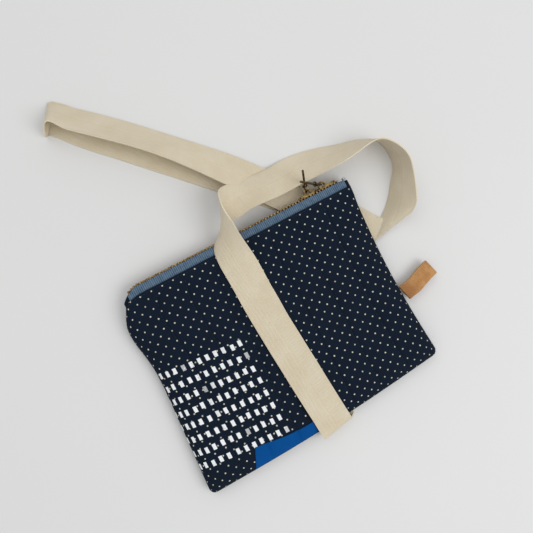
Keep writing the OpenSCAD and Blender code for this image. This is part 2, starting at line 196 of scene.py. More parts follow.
def paint(red, green, blue):
    """An on-screen colour from 0 to 255 as the linear colour that shaders use."""
    linear = [
        ((c / 255 + 0.055) / 1.055) ** 2.4 if c > 10 else c / 255 / 12.92
        for c in (red, green, blue)
    ]
    return (*linear, 1.0)


print("shader arithmetic ready")

# %% [markdown]
# Most of the wallet is cloth. A sheet is a bmesh grid whose corners a formula puts in place. Its
# "cloth" UV map is in metres on the flat cloth, so a print or a weave keeps its scale where the
# cloth bends. A pad is such a grid extruded to a closed form, with one formula for its top and
# one for its underside: a quilted panel is three of them, one over the other.

# %% Pieces, sheets and pads
def add_piece(name, bm, finish, body, sharp=50):
    """Turns a bmesh into a piece that rides on a body and takes a finish."""
    mesh = bpy.data.meshes.new(name)
    bm.to_mesh(mesh)
    bm.free()
    mesh.shade_smooth()
    mesh.set_sharp_from_angle(angle=math.radians(sharp))
    piece = bpy.data.objects.new(name, mesh)
    bpy.context.scene.collection.objects.link(piece)
    piece.data.materials.append(finish.material)
    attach(piece, body)
    return piece


def grid(columns, rows):
    bm = bmesh.new()
    bmesh.ops.create_grid(bm, x_segments=columns, y_segments=rows, size=0.5)
    return bm


def lay_out(bm, spots, flat=None):
    """Writes the cloth UV map: flat(u, v) is a place on the flat cloth, in metres."""
    layer = bm.loops.layers.uv.new("cloth")
    for face in bm.faces:
        for loop in face.loops:
            u, v = spots[loop.vert]
            loop[layer].uv = flat(u, v) if flat else loop.vert.co.xy


def sheet_mesh(columns, rows, place, flat=None):
    """A sheet of cells; place(u, v) gives a point in millimetres."""
    bm = grid(columns, rows)
    spots = {vert: (vert.co.x + 0.5, vert.co.y + 0.5) for vert in bm.verts}
    for vert, (u, v) in spots.items():
        vert.co = Vector(place(u, v)) * MM
    lay_out(bm, spots, flat)
    return bm


def pad_mesh(columns, rows, top, underside, flat=None):
    """A closed form between two formulas, both in millimetres."""
    bm = grid(columns, rows)
    grown = bmesh.ops.extrude_face_region(bm, geom=bm.faces[:], use_keep_orig=True)
    for vert in grown["geom"]:
        if isinstance(vert, bmesh.types.BMVert):
            vert.co.z = 1
    spots = {vert: (vert.co.x + 0.5, vert.co.y + 0.5) for vert in bm.verts}
    for vert, (u, v) in spots.items():
        vert.co = Vector((top if vert.co.z > 0.5 else underside)(u, v)) * MM
    bmesh.ops.recalc_face_normals(bm, faces=bm.faces)
    lay_out(bm, spots, flat)
    return bm


def wall(piece, thickness, offset=-1.0):
    solid = piece.modifiers.new("wall", "SOLIDIFY")
    solid.thickness = thickness * MM
    solid.offset = offset


def round_edges(piece, width, segments=2, angle=40):
    bevel = piece.modifiers.new("rounded", "BEVEL")
    bevel.width = width * MM
    bevel.segments = segments
    bevel.limit_method = "ANGLE"
    bevel.angle_limit = math.radians(angle)


print("pieces, sheets and pads ready")

# %% [markdown]
# The strap is one cotton tape, 25 mm wide. It is sewn to the back panel under the pouch, wraps
# the bottom edge, crosses the front, folds over the zip, curls round on its edge at the right,
# passes under the corner, runs out to the left, turns back flat on the table and ends under the
# pouch again. Each station below is a point on its middle line, in millimetres, and the heading
# and slope of the line across it, in degrees.

# %% Strap route
STRAP_WIDTH = 25.0
STRAP_THICK = 0.9
STRAP_ROUTE = [
    (41, -6, 0.5, -28, 0), (30, -27, 0.5, -28, 0), (11, -66, 0.5, -12, 0),
    (5, -78.4, 4, 6, 0), (4, -78.4, 9.5, 10, 0), (2.5, -64, 13.8, 5, 0),
    (-0.5, -25, 13.8, 5, 0), (-3, 10, 13.8, 5, 0), (-4.5, 53.5, 15, 6, 6),
    (-5.5, 81, 21.4, 22, 46), (-4, 87, 22, 42, 54), (4, 98.5, 18.1, 82, 28),
    (14, 101, 12.8, 89, -10), (44, 100.2, 8.8, 90, -25), (64, 101.2, 5.1, 90, -21),
    (97.5, 98, 9.9, 92, -48), (132, 90.5, 12.7, 38, -80), (137, 71, 12.6, 4, -101),
    (132.5, 60.5, 11.9, -12, -113), (120.5, 41, 9.2, -10, -136), (103.5, 30, 2.8, 14, -180),
    (84.5, 50, 2.5, 45, -180), (61, 77, 1.5, 45, -180), (49, 90, 2.7, 45, -184),
    (26, 118, 5.2, 45, -197), (-11.5, 158.5, 9.6, 45, -218), (-38, 184, 9.6, 44, -218),
    (-60.5, 203.5, 9.6, 44, -218), (-74, 215.5, 9.9, 62, -220), (-77.5, 214.5, 3.2, 59, -191),
    (-75, 214, 0.5, 50, -180), (-60, 198.5, 0.5, 45, -180), (-30, 168.5, 0.5, 45, -180),
    (0, 138.5, 0.5, 45, -180), (30, 108.5, 0.5, 45, -180), (70, 68.5, 0.5, 46, -180),
    (89.5, 50, 0.6, 76, -180), (88, 45, 1.6, 118, -180), (72, 27.5, 0.5, 138, -180),
    (42, -5, 0.5, 138, -180),
]
TURN_WEIGHT = 8.0
LONGEST_HALF = 14.5
RINGS_PER_SPAN = 12


def across(heading, slope):
    a, b = math.radians(heading), math.radians(slope)
    return Vector((math.cos(b) * math.cos(a), math.cos(b) * math.sin(a), math.sin(b)))


middles = [Vector(station[:3]) for station in STRAP_ROUTE]
lines = [across(*station[3:]) for station in STRAP_ROUTE]
last = len(STRAP_ROUTE) - 1
spans = [
    math.hypot((middles[i + 1] - middles[i]).length, TURN_WEIGHT * (lines[i + 1] - lines[i]).length)
    for i in range(last)
]


def rates(values):
    """How fast a list of vectors changes at each station."""
    slopes = [(values[i + 1] - values[i]) / spans[i] for i in range(last)]
    inner = [
        (slopes[i - 1] * spans[i] + slopes[i] * spans[i - 1]) / (spans[i - 1] + spans[i])
        for i in range(1, last)
    ]
    return [slopes[0], *inner, slopes[-1]]


def curve(values, slopes, i, t):
    """A smooth curve through the stations, at the fraction t of span i."""
    return (
        (2 * t**3 - 3 * t**2 + 1) * values[i] + (t**3 - 2 * t**2 + t) * spans[i] * slopes[i]
        + (3 * t**2 - 2 * t**3) * values[i + 1] + (t**3 - t**2) * spans[i] * slopes[i + 1]
    )


middle_rates, line_rates = rates(middles), rates(lines)
steps = [(i, k / RINGS_PER_SPAN) for i in range(last) for k in range(RINGS_PER_SPAN)]
steps.append((last - 1, 1.0))
ring_middles = [curve(middles, middle_rates, i, t) for i, t in steps]
ring_lines = [curve(lines, line_rates, i, t).normalized() for i, t in steps]
ring_marks = [0.0]
for a, b in zip(ring_middles, ring_middles[1:]):
    ring_marks.append(ring_marks[-1] + (b - a).length)

# %% [markdown]
# Herringbone twill is woven in slanting ribs that change direction along the middle of the
# tape. On the UV map the tape is flat, so the ribs are a wave of (along + distance from the
# middle), which mirrors itself there. Unbleached cotton has darker flecks and soft blotches.

# %% Strap finish
RIB_PITCH = 1.35
twill = Finish("cream_twill", Roughness=0.88, Sheen_Weight=0.15, Sheen_Roughness=0.5)
tape_place = twill.cloth_mm()
tape_u, tape_v, _ = twill.xyz(tape_place)
from_middle = abs(tape_u)
rib = ((tape_v + from_middle * 1.1) * (2 * math.pi / RIB_PITCH)).maths("SINE") * 0.5 + 0.5
yarn = ((tape_v - from_middle * 1.7) * (2 * math.pi / 0.6)).maths("SINE") * 0.5 + 0.5
spine = from_middle.below(0.5, 0.6)
selvedge = from_middle.above(STRAP_WIDTH / 2 - 1.1, 0.8)
blotch = twill.speckle(tape_place, 0.06, 3.0)
fleck = twill.speckle(tape_place, 1.1, 2.0, 0.6).above(0.66, 0.05)
cream = twill.blend(blotch.above(0.5, 0.5), paint(228, 215, 188), paint(236, 225, 201))
cream = twill.blend(rib.below(0.45, 0.6) * 0.36, cream, paint(196, 176, 138))
cream = twill.blend(spine * 0.16, cream, paint(184, 165, 128))
cream = twill.blend(fleck * 0.3, cream, paint(165, 142, 104))
twill.feed("Base Color", cream)
twill.bump(rib * (1 - spine * 0.6) * 0.8 + yarn * 0.2 + selvedge * 0.7, 0.0003, 0.95)
print("strap finish:", len(twill.tree.nodes), "nodes")

# %% [markdown]
# The tape is one long sheet with a row of cells for each step along the route. Where the line
# across is oblique, as in a fold, the tape is longer along that line. A soft wander of the edges
# and a little crown keep it from looking cut from card, and it never goes below the table.

# %% Strap
STRAP_COLUMNS = 10
CROWN = 0.3
EDGE_WANDER = 0.3


def strap_run(i):
    low, high = max(i - 1, 0), min(i + 1, len(ring_middles) - 1)
    return (ring_middles[high] - ring_middles[low]).normalized()


def strap_half(i):
    return min(STRAP_WIDTH / 2 / strap_run(i).cross(ring_lines[i]).length, LONGEST_HALF)


def strap_place(u, v):
    i, s = round(v * (len(ring_middles) - 1)), 2 * u - 1
    normal = strap_run(i).cross(ring_lines[i]).normalized()
    mark = ring_marks[i]
    wander = EDGE_WANDER * noise.noise(Vector((mark * 0.05, 5 * s, 0.3))) * abs(s)
    point = ring_middles[i] + ring_lines[i] * s * (strap_half(i) + wander)
    point += normal * CROWN * (1 - s * s) * noise.noise(Vector((mark * 0.02, 0.7, 0.1)))
    point.z = max(point.z, 0.06 + STRAP_THICK / 2 * abs(normal.z))
    return point


def strap_flat(u, v):
    i, s = round(v * (len(ring_middles) - 1)), 2 * u - 1
    lean = strap_run(i).dot(ring_lines[i]) * strap_half(i) * s
    return Vector((s * STRAP_WIDTH / 2, ring_marks[i] + lean)) * MM


strap_bm = sheet_mesh(STRAP_COLUMNS, len(ring_middles) - 1, strap_place, strap_flat)
strap = add_piece("wrist_strap", strap_bm, twill, "pouch")
wall(strap, STRAP_THICK, 0.0)
round_edges(strap, 0.25)
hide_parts("strap")
print("strap faces:", len(strap.data.polygons))

# %% [markdown]
# A stitch is a short slack loop of thread that dips into the cloth at both ends. One capsule,
# repeated along a line, is enough: here for the box of stitches that holds both strap ends.

# %% Stitches and strap ends
thread = Finish("cream_thread", Roughness=0.7)
thread_place = thread.object_mm()
ply = thread.node("ShaderNodeTexWave", {"bands_direction": "DIAGONAL"}, Vector=thread_place, Scale=0.9)
thread.feed("Base Color", thread.blend(ply, paint(214, 203, 176), paint(238, 229, 206)))
thread.bump(ply, 0.00008, 0.6)


STITCH_SHARE = 0.8


def add_stitch(bm, start, end, radius):
    """A capsule from start to end in millimetres, flattened on the cloth."""
    run = end - start
    ahead = run.normalized()
    side = run.cross(Vector((0, 0, 1))).normalized()
    turn = Matrix((ahead, side, ahead.cross(side))).transposed().to_4x4()
    size = Matrix.Diagonal((run.length / 2, radius, radius * 0.75, 1))
    middle = (start + end) / 2
    bmesh.ops.create_icosphere(
        bm, subdivisions=1, radius=MM,
        matrix=Matrix.Translation(middle * MM) @ turn @ size,
    )


def stitch_line(bm, points, pitch, radius):
    """Stitches end to end along a chain of points, with a small gap between them."""
    for a, b in zip(points, points[1:]):
        a, b = Vector(a), Vector(b)
        count = max(1, round((b - a).length / pitch))
        for k in range(count):
            start = a.lerp(b, (k + (1 - STITCH_SHARE) / 2) / count)
            end = a.lerp(b, (k + (1 + STITCH_SHARE) / 2) / count)
            add_stitch(bm, start, end, radius)


low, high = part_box("strap_stitching")
box_z = (low[2] + high[2]) / 2 / MM
box_middle = Vector((low[0] + high[0], low[1] + high[1], 0)) / 2 / MM
BOX_TURN = -28
BOX_HALF = 9.0
corners = []
for k in range(4):
    a = math.radians(BOX_TURN + 45 + 90 * k)
    outward = Vector((math.cos(a), math.sin(a), 0)) * BOX_HALF * math.sqrt(2)
    corners.append(box_middle + outward + Vector((0, 0, box_z)))
stitch_bm = bmesh.new()
stitch_line(stitch_bm, [*corners, corners[0]], 2.4, 0.3)
stitch_line(stitch_bm, [corners[0], corners[2]], 2.4, 0.3)
stitch_line(stitch_bm, [corners[1], corners[3]], 2.4, 0.3)
strap_box = add_piece("strap_box_stitches", stitch_bm, thread, "pouch", 180)
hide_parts("strap_stitching")
[tuple(point * MM) for point in ring_middles[::3]]
print("strap ends sewn down")

# %% [markdown]
# The table is a pale matt board. A big soft lamp stands at the right, as a window would, and
# an even sky fills the shadows. The standard view keeps painted colours as they were chosen.

# %% Table and light
board = Finish("pale_board", Roughness=0.8)
board_place = board.object_mm()
board_cloud = board.speckle(board_place, 0.004, 3.0)
board.feed("Base Color", board.blend(board_cloud, paint(221, 221, 220), paint(226, 226, 225)))
board.bump(board.speckle(board_place, 0.6, 3.0), 0.0001, 0.2)
floor_bm = grid(1, 1)
bmesh.ops.scale(floor_bm, vec=(6, 6, 1), verts=floor_bm.verts)
bmesh.ops.translate(floor_bm, vec=(0, 0, -0.0002), verts=floor_bm.verts)
floor_mesh = bpy.data.meshes.new("table")
floor_bm.to_mesh(floor_mesh)
floor_bm.free()
table = bpy.data.objects.new("table", floor_mesh)
bpy.context.scene.collection.objects.link(table)
table.data.materials.append(board.material)

bpy.context.scene.view_settings.view_transform = "Standard"
sky = bpy.data.worlds.new("sky")
sky.use_nodes = True
sky.node_tree.nodes["Background"].inputs["Color"].default_value = (0.985, 0.99, 1.0, 1)
sky.node_tree.nodes["Background"].inputs["Strength"].default_value = 0.64
bpy.context.scene.world = sky


def soft_lamp(name, heading, elevation, distance, size, power):
    a, b = math.radians(heading), math.radians(elevation)
    place = Vector((math.cos(b) * math.cos(a), math.cos(b) * math.sin(a), math.sin(b))) * distance
    lamp = bpy.data.lights.new(name, "AREA")
    lamp.shape = "DISK"
    lamp.size = size
    lamp.energy = power
    holder = bpy.data.objects.new(name, lamp)
    holder.location = place
    holder.rotation_euler = place.to_track_quat("Z", "Y").to_euler()
    bpy.context.scene.collection.objects.link(holder)


soft_lamp("window", -45, 52, 1.5, 1.1, 8.5)
soft_lamp("fill", 100, 55, 1.6, 1.2, 3.2)
print("table and lamps ready")

# %% [markdown]
# The pouch is a flat cushion between two quilted panels. Its outline leans a little and bulges
# at the upper left, and fullness says how near a point is to the full thickness: a quarter round
# at the sides and at the bottom. The same formulas shape the cover, the wadding and the lining.

# %% Pouch outline
TOP_EDGE = 72.4
RIM = 14.0
ZIP_END_RIM = 2.7
CORNER_ROUND = 0.024
CORNER_ROUND_V = 0.034
BULGE = 6.8
BULGE_AT = 0.865


def mix(a, b, t):
    return a + (b - a) * t


def limit(value, low, high):
    return min(max(value, low), high)


def quarter_round(distance, radius):
    return 1.0 if distance >= radius else math.sqrt(max(0.0, 1 - (1 - distance / radius) ** 2))


def left_x(v):
    reach = 0.16 if v < BULGE_AT else 0.12
    return mix(-96.7, -87.5, v) - BULGE * math.exp(-(((v - BULGE_AT) / reach) ** 2))


def right_x(v):
    return mix(96.3, 95.7, v) - 3.5 * math.sin(math.pi * v)


def bottom_y(u):
    return mix(-76.4, -67, u) - 2.8 * math.sin(math.pi * u)


def zip_droop(x):
    """The zip and the panels' top edge turn down at the closed end."""
    return 0.035 * max(0.0, -74 - x) ** 2


def panel_droop(x, v):
    """The panels' top edge turns down half as far as the zip, and only near it."""
    return 0.5 * zip_droop(max(x, -89.0)) * limit((v - 0.85) / 0.15, 0, 1) ** 2


def softened(u, v):
    """Rounds the two bottom corners: a square corner's cells become a quarter disc."""
    a = min(u, 1 - u) / CORNER_ROUND
    b = v / CORNER_ROUND_V
    if a < 1 and b < 1:
        p, q = 1 - a, 1 - b
        a, b = 1 - p * math.sqrt(1 - q * q / 2), 1 - q * math.sqrt(1 - p * p / 2)
        u = a * CORNER_ROUND if u < 0.5 else 1 - a * CORNER_ROUND
        v = b * CORNER_ROUND_V
    return u, v


def outline(u, v):
    u, v = softened(u, v)
    x = mix(left_x(v), right_x(v), u)
    return x, mix(bottom_y(u), TOP_EDGE, v) - panel_droop(x, v)


def fullness(u, v):
    width, height = right_x(v) - left_x(v), TOP_EDGE - bottom_y(u)
    side_rim = mix(RIM, ZIP_END_RIM, limit((v - 0.8) / 0.15, 0, 1))
    return quarter_round(min(u, 1 - u) * width, side_rim) * quarter_round(v * height, RIM)


print("pouch", round(outline(1, 0.5)[0] - outline(0, 0.5)[0]), "mm wide")

# %% [markdown]
# Upright rows of quilting, 23 mm apart, pull the panel in, and the cloth puckers beside them.
# Beyond that the cloth has slow, shallow waves. All of it fades out at the rims, where the
# panels are stretched over the seam.

# %% Quilting and layers
CHANNEL = 23.0
ROWS_PER_SIDE = 3
FLAT_WIDTH, FLAT_HEIGHT = 190, 145
COTTON = 1.0
RIM_HEIGHT, FULL_HEIGHT = 6.0, 12.6
UNDER_FOLD = (87, 48)
UNDER_WRAP = (6, -72)
SEAM_Z = 5.0


def channel_distance(u):
    """Distance in millimetres to the nearest row of quilting."""
    k = (u - 0.5) * FLAT_WIDTH / CHANNEL
    return abs(k - limit(round(k), -ROWS_PER_SIDE, ROWS_PER_SIDE)) * CHANNEL


def quilted(u, v, x, y, seed):
    d = channel_distance(u)
    stitched = -0.95 * math.exp(-((d / 1.4) ** 2)) - 0.75 * math.exp(-((d / 6) ** 2))
    pucker = 0.35 * math.exp(-((d / 5) ** 2)) * noise.noise(Vector((x / 8, y / 2.8, seed)))
    wave = 0.5 * noise.noise(Vector((x / 17, y / 24, seed + 3)))
    wave += 0.12 * noise.noise(Vector((x / 6, y / 8, seed)))
    hem = limit((TOP_EDGE - y) / 9, 0, 1)
    return (stitched + pucker + wave) * fullness(u, v) ** 1.5 * hem * hem


def front_surface(u, v):
    x, y = outline(u, v)
    return x, y, mix(RIM_HEIGHT, FULL_HEIGHT, fullness(u, v)) + quilted(u, v, x, y, 1.7)


def fall(distance, reach):
    t = limit(distance / reach, 0, 1)
    return 1 - t * t * (3 - 2 * t)


def strap_under(x, y):
    """How far the strap under the pouch lifts it."""
    (fold_x, fold_y), (wrap_x, wrap_y) = UNDER_FOLD, UNDER_WRAP
    fold = math.dist((x, y), UNDER_FOLD)
    ax, ay = wrap_x - fold_x, wrap_y - fold_y
    t = limit(((x - fold_x) * ax + (y - fold_y) * ay) / (ax * ax + ay * ay), 0, 1)
    strand = math.dist((x, y), (fold_x + t * ax, fold_y + t * ay))
    return max(
        2.4 * fall(abs(x + y - 138) / math.sqrt(2) - 22, 10), 3.3 * fall(fold - 22, 10),
        1.4 * fall(strand - 22, 10), 3.9 * fall(math.dist((x, y), UNDER_WRAP) - 11, 10),
    )


def back_surface(u, v):
    x, y = outline(u, v)
    level = max(
        3.95 * (1 - fullness(u, v)), 2.4 * (1 - quarter_round(TOP_EDGE - y, 12)),
        min(strap_under(x, y), 3.95, 2.4 + 0.25 * max(0.0, 68.5 - y)),
    )
    return x, y, level + max(0.0, -0.8 * quilted(u, v, x, y, 5.2)) * (1 - level / 3.96)


def front_layer(depth, share=0.0):
    """A surface below the front cover: depth in millimetres, and a share of the room left."""
    def place(u, v):
        x, y, z = front_surface(u, v)
        room = z - COTTON - SEAM_Z
        return x, y, z - COTTON - depth - min(share * room, 2.7)
    return place


def back_layer(depth, share=0.0):
    def place(u, v):
        x, y, z = back_surface(u, v)
        room = SEAM_Z - COTTON - z
        return x, y, z + COTTON + depth + min(share * room, 2.7)
    return place


def inset(place, side=0.035, low=0.045, high=0.965):
    """The same surface, kept in from the rims."""
    return lambda u, v: place(mix(side, 1 - side, u), mix(low, high, v))


def cover_flat(u, v):
    """Where a point of a cover lies on the flat cloth, which goes on over the rims."""
    x, y = outline(u, v)
    side = 1 - quarter_round(min(u, 1 - u) * FLAT_WIDTH, RIM)
    low = 1 - quarter_round(v * FLAT_HEIGHT, RIM)
    return Vector((x + math.copysign(4.5 * side, u - 0.5), y - 4.5 * low)) * MM


def cover_inside(surface, step):
    """The inner face of a cover, a cloth's thickness in from its outer face."""
    def place(u, v):
        x, y, z = surface(u, v)
        return x, y, z + step
    return place


print("front is", round(front_surface(0.5, 0.5)[2], 1), "mm high in the middle")

# %% [markdown]
# The print is on the flat cloth: cream pin dots in a quincunx, which is two square lattices half
# a cell apart, and on the front a hand-printed block of white rectangles, 12 by 8, a little
# turned. Each rectangle's own random number shifts and fades it, as uneven ink does.

# %% Printed cotton
DOT_CELL = (8.5, 7.8)
DOT_RADIUS = 0.56
BLOCK_CELL = (6.12, 9.85)


def printed_cotton(name, with_block):
    cotton = Finish(name, Roughness=0.85, Specular_IOR_Level=0.12)
    place = cotton.cloth_mm()
    x, y, _ = cotton.xyz(place)
    warp = (x * (2 * math.pi / 0.62)).maths("SINE")
    weft = (y * (2 * math.pi / 0.62)).maths("SINE")
    weave = warp * weft * 0.5 + 0.5
    cloud = cotton.speckle(place, 0.05, 3.0)
    lint = cotton.speckle(place, 1.6, 3.0, 0.7)
    navy = cotton.blend(cloud, paint(6, 18, 31), paint(10, 24, 38))
    navy = cotton.blend(weave * 0.3, navy, paint(24, 38, 56))
    navy = cotton.blend(lint.above(0.6, 0.2) * 0.2, navy, paint(46, 60, 78))

    wobble = (cotton.speckle(place, 0.9, 2.0) - 0.5) * 0.5
    dots = None
    for shift in (0.0, 0.5):
        across_dot = (x / DOT_CELL[0] + shift).fraction() * DOT_CELL[0]
        along_dot = (y / DOT_CELL[1] + shift).fraction() * DOT_CELL[1]
        distance = (across_dot * across_dot + along_dot * along_dot).maths("SQRT")
        dot = (distance + wobble).below(DOT_RADIUS, 0.25)
        dots = dot if dots is None else dots + dot
    patchy = cotton.speckle(place, 0.09, 2.0).above(0.42, 0.3) * 0.35 + 0.55
    colour = cotton.blend(dots * patchy, navy, paint(214, 208, 194))
    ink = dots * 0.3

    if with_block:
        column = (x + 97.6 + (y - 13.5) * 0.012) / BLOCK_CELL[0]
        row = (13.9 - y - (x + 91.3) * 0.088) / BLOCK_CELL[1]
        cell = cotton.node("ShaderNodeCombineXYZ", {}, column.whole(), row.whole(), 0.0)
        chance = cotton.node("ShaderNodeTexWhiteNoise", {"noise_dimensions": "3D"}, Vector=cell)
        second = cotton.node("ShaderNodeTexWhiteNoise", {"noise_dimensions": "3D"}, out=1, Vector=cell)
        second_x, second_y, _ = cotton.xyz(second)
        side = abs(column.fraction() * BLOCK_CELL[0] + (second_x - 0.5) * 0.9) + wobble
        end = abs(row.fraction() * BLOCK_CELL[1] + (second_y - 0.5) * 0.8) + wobble * 0.8
        block = side.below(1.3, 0.25) * end.below(2.15, 0.25)
        block = block * column.above(-0.5, 0.02) * column.below(11.5, 0.02)
        block = block * row.above(-0.5, 0.02) * row.below(7.5, 0.02)
        thin = cotton.speckle(place, 0.5, 3.0, 0.7).above(0.36, 0.2)
        block = block * (0.55 + 0.45 * chance.above(0.05, 0.04)) * (0.7 + 0.3 * thin)
        colour = cotton.blend(block, colour, paint(238, 240, 242))
        ink = ink + block * 0.5

    cotton.feed("Base Color", colour)
    cotton.bump(weave * 0.6 + lint * 0.5 + ink, 0.00012, 0.7)
    return cotton


front_cotton = printed_cotton("printed_cotton_front", True)
back_cotton = printed_cotton("printed_cotton_back", False)
print("front print:", len(front_cotton.tree.nodes), "nodes")

# %% [markdown]
# Each panel is a cover, a layer of wadding and a lining. Only the covers show, but the inner
# layers are there to be seen when the wallet is taken apart.

# %% Panels
COLUMNS, ROWS = 190, 140

wadding = Finish("white_wadding", Roughness=0.95)
fluff = wadding.speckle(wadding.object_mm(), 0.7, 6.0, 0.7)
wadding.feed("Base Color", wadding.blend(fluff, paint(224, 222, 214), paint(245, 244, 240)))
wadding.bump(fluff, 0.0005, 0.8)

lining = Finish("grey_lining", Roughness=0.85)
lining_x, lining_y, _ = lining.xyz(lining.object_mm())
lining_weave = (lining_x * 9).maths("SINE") * (lining_y * 9).maths("SINE") * 0.5 + 0.5
lining.feed("Base Color", lining.blend(lining_weave, paint(150, 158, 168), paint(178, 185, 193)))
lining.bump(lining_weave, 0.0001, 0.7)

front_inside = cover_inside(front_surface, -COTTON)
back_inside = cover_inside(back_surface, COTTON)
front_bm = pad_mesh(COLUMNS, ROWS, front_surface, front_inside, cover_flat)
back_bm = pad_mesh(COLUMNS, ROWS, back_inside, back_surface, cover_flat)
front_cover = add_piece("front_cover", front_bm, front_cotton, "pouch")
back_cover = add_piece("back_cover", back_bm, back_cotton, "pouch")
for cover, node in ((front_cover, "front_panel"), (back_cover, "back_panel")):
    round_edges(cover, 0.35, 2, 60)
    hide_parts(node)

inner = [
    ("front_pad", "front_wadding", front_layer(0.05), front_layer(0.05, 0.4), wadding, "wadding"),
    ("front_inner_lining", "front_lining", front_layer(0.1, 0.4), front_layer(0.7, 0.4), lining, "lining"),
    ("back_pad", "back_wadding", back_layer(0.05, 0.4), back_layer(0.05), wadding, "wadding"),
    ("back_inner_lining", "back_lining", back_layer(0.7, 0.4), back_layer(0.1, 0.4), lining, "lining"),
]
for name, node, top, underside, finish, slot in inner:
    layer_bm = pad_mesh(90, 66, inset(top), inset(underside))
    layer = add_piece(name, layer_bm, finish, "pouch")
    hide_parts(node)
    slot == "wadding"
print("panels made, cover faces:", len(front_cover.data.polygons))

# %% [markdown]
# A scrap of bright blue cotton is sewn on at the bottom edge, with two pressed creases. It lies
# on the quilted cover, so its height is looked up on the cover's own surface.

# %% Blue patch
PATCH_TOP = [(-54.5, -60.5), (-30.7, -64.2), (-20.6, -65.1), (-9.8, -64.7)]
PATCH_BOTTOM_X = (-61.0, -8.8)
PATCH_THICK = 0.35
CREASES = (0.2, 0.66)


def front_height(x, y):
    """Height of the front cover at a place on the pouch, in millimetres."""
    u, v = 0.5, 0.5
    for _ in range(4):
        v = (y - bottom_y(u)) / (TOP_EDGE - bottom_y(u))
        u = (x - left_x(v)) / (right_x(v) - left_x(v))
    return front_surface(u, v)[2]


def patch_place(u, v):
    x_top = mix(PATCH_TOP[0][0], PATCH_TOP[-1][0], u)
    x_bottom = mix(*PATCH_BOTTOM_X, u)
    k = 0 if x_top < PATCH_TOP[1][0] else 1 if x_top < PATCH_TOP[2][0] else 2
    a, b = PATCH_TOP[k], PATCH_TOP[k + 1]
    y_top = mix(a[1], b[1], limit((x_top - a[0]) / (b[0] - a[0]), 0, 1))
    low = bottom_y((x_bottom - left_x(0)) / (right_x(0) - left_x(0))) + 1.0
    x, y = mix(x_bottom, x_top, v), mix(low, y_top, v)
    crease = sum(math.exp(-(((u - c) * 52 / 0.7) ** 2)) for c in CREASES)
    return x, y, front_height(x, y) + 0.5 + 0.25 * crease


blue = Finish("blue_cotton", Roughness=0.85, Specular_IOR_Level=0.08)
blue_x, blue_y, _ = blue.xyz(blue.cloth_mm())
blue_weave = (blue_x * 12).maths("SINE") * (blue_y * 12).maths("SINE") * 0.5 + 0.5
blue_cloud = blue.speckle(blue.cloth_mm(), 0.12, 3.0)
blue_colour = blue.blend(blue_cloud, paint(2, 66, 128), paint(4, 78, 146))
blue_colour = blue.blend(blue_weave * 0.2, blue_colour, paint(10, 92, 164))
blue.feed("Base Color", blue_colour)
blue.bump(blue_weave, 0.0001, 0.6)
patch = add_piece("blue_patch_cloth", sheet_mesh(80, 18, patch_place), blue, "pouch")
wall(patch, PATCH_THICK)
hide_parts("blue_patch")
print("patch faces:", len(patch.data.polygons))

# %% [markdown]
# A zip tape is ribbed across, woven so that it doesn't stretch. It lies flat from the teeth to
# the cover and runs on under the cover's folded edge, where it is sewn. A sheet with a slight
# waviness is enough, because the ribs are in its finish.

# %% Zip tapes
CHAIN_Z = 7.5
TAPE_THICK = 0.5
TAPE_ENDS = (-84.0, 92.0)
TAPE_RISE = 4.0
TAPE_FROM, TAPE_TO = 69.2, 78.3


def tape_place(side):
    def place(u, v):
        x = mix(*TAPE_ENDS, u)
        y = mix(TAPE_FROM, TAPE_TO, v)
        rise = TAPE_RISE + 0.06 * noise.noise(Vector((x / 9, y / 4, side)))
        return x, y - zip_droop(x) * mix(0.5, 1.0, v), CHAIN_Z + side * rise
    return place


ribbed = Finish("ribbed_zip_tape", Roughness=0.75, Sheen_Weight=0.1)
rib_x, _, _ = ribbed.xyz(ribbed.cloth_mm())
rib_wave = (rib_x * (2 * math.pi / 1.45)).maths("SINE") * 0.5 + 0.5
rib_cloud = ribbed.speckle(ribbed.cloth_mm(), 0.3, 3.0)
slate = ribbed.blend(rib_wave, paint(48, 70, 92), paint(92, 118, 142))
slate = ribbed.blend(rib_cloud.above(0.5, 0.4) * 0.3, slate, paint(122, 142, 160))
ribbed.feed("Base Color", slate)
ribbed.bump(rib_wave, 0.0003, 0.9)
for side, name in ((1, "front"), (-1, "back")):
    tape_bm = sheet_mesh(352, 22, tape_place(side))
    if side < 0:
        bmesh.ops.reverse_faces(tape_bm, faces=tape_bm.faces)
    tape = add_piece(f"zip_tape_{name}_cloth", tape_bm, ribbed, "pouch")
    wall(tape, TAPE_THICK)
    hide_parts(f"zip_tape_{name}")
print("zip tapes made")

# %% [markdown]
# A metal tooth is a small clamp on the edge of the tape with a rounded head that meets the
# other row. One bevelled block is copied along each tape, and the rows are half a step apart.

# %% Zip teeth
TOOTH_PITCH = 2.5
TEETH_FROM = -80.5
TEETH_LENGTH = 171.0
TOOTH_MIDDLE_Y = 79.13
TOOTH_MIDDLE_Z = 1.45


def metal(name, dark, pale, scale, rough=(0.28, 0.5), worn=0.5):
    """Old metal: blotches of tarnish, and rougher where it is dull."""
    finish = Finish(name, Metallic=1.0)
    place = finish.object_mm()
    tarnish = finish.speckle(place, scale, 4.0, 0.6)
    drawn_out = finish.node(
        "ShaderNodeVectorMath", {"operation": "MULTIPLY"}, place, (0.4, 3.0, 3.0),
    )
    scratches = finish.speckle(drawn_out, scale * 2, 3.0)
    finish.feed("Base Color", finish.blend(tarnish.above(worn, 0.35), dark, pale))
    finish.feed("Roughness", tarnish * (rough[0] - rough[1]) + rough[1] + scratches * 0.08)
    finish.bump(scratches * 0.5 + tarnish * 0.5, 0.00005, 0.5)
    return finish


